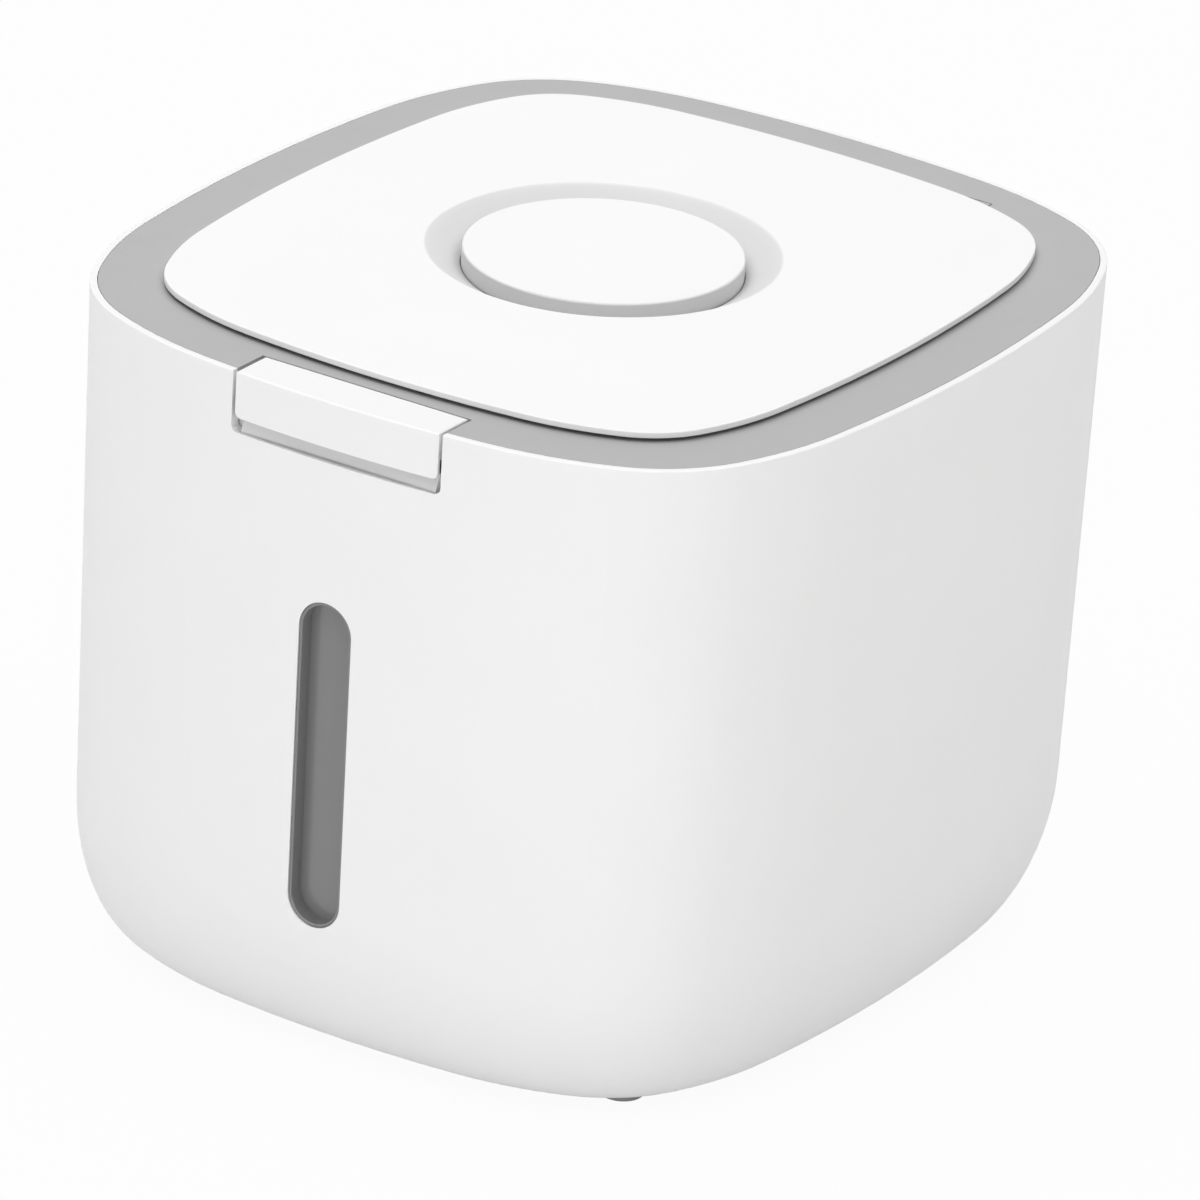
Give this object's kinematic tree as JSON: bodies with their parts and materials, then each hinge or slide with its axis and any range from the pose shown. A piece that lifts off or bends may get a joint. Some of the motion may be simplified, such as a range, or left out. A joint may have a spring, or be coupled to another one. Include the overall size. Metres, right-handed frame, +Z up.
{
  "type": "rice storage container",
  "caption": "Soft-square white bin with a view window, gray rim, push-button hinged lid and a twist-off desiccant cup in the lid, for keeping rice dry.",
  "frame": {"origin": "on the floor under the middle of the tub", "axes": "+Z up, the release button and window face -Y, the hinge is at +Y"},
  "size_m": [0.25, 0.2736, 0.2137],
  "materials": {
    "tub_white": "satin, fine texture",
    "lid_white": "satin",
    "button_white": "satin",
    "lid_inner": "satin",
    "collar_gray": "satin",
    "bolt_plastic": "smooth",
    "window_smoke": "clear smoky",
    "soft_seal": "soft silicone",
    "foot_rubber": "matt",
    "steel": "bright"
  },
  "bodies": {
    "tub": {"body_shell": "tub_white", "window_pane": "window_smoke", "window_seal": "soft_seal", "rim_collar": "collar_gray", "latch_housing": "collar_gray", "housing_screws": "steel", "button_spring_left": "steel", "button_spring_right": "steel", "bolt_spring": "steel", "hinge_pin": "steel", "hinge_spring_left": "steel", "hinge_spring_right": "steel", "foot_front_left": "foot_rubber", "foot_front_right": "foot_rubber", "foot_rear_left": "foot_rubber", "foot_rear_right": "foot_rubber"},
    "lid": {"lid_top": "lid_white", "lid_base": "collar_gray", "lid_gasket": "soft_seal", "lid_screws": "steel"},
    "button": {"release_button": "button_white"},
    "bolt": {"latch_bolt": "bolt_plastic"},
    "capsule": {"desiccant_cup": "lid_inner", "cup_seal": "soft_seal"},
    "cover": {"compartment_cover": "lid_white"}
  },
  "joints": [
    {"name": "lid_hinge", "type": "hinge", "parent": "tub", "child": "lid", "pos_m": [0, 0.11295, 0.207], "axis": [-1, 0, 0], "range_deg": [0, 95], "deforming": ["hinge_spring_left", "hinge_spring_right"]},
    {"name": "button_press", "type": "slide", "parent": "tub", "child": "button", "axis": [0, 0, -1], "range_m": [0, 0.004], "stiffness_N_per_m": 400, "springref_m": -0.005, "deforming": ["button_spring_left", "button_spring_right"]},
    {"name": "bolt_retract", "type": "slide", "parent": "tub", "child": "bolt", "axis": [0, -1, 0], "range_m": [0, 0.0026], "deforming": ["bolt_spring"]},
    {"name": "capsule_lift", "type": "slide", "parent": "lid", "child": "capsule", "axis": [0, 0, 1], "range_m": [0, 0.03]},
    {"name": "cover_twist", "type": "hinge", "parent": "capsule", "child": "cover", "pos_m": [0, 0, 0.21], "axis": [0, 0, 1], "range_deg": [0, 45]}
  ],
  "couplings": [
    {"joint": "bolt_retract", "follows": "button_press", "ratio": 0.65}
  ]
}
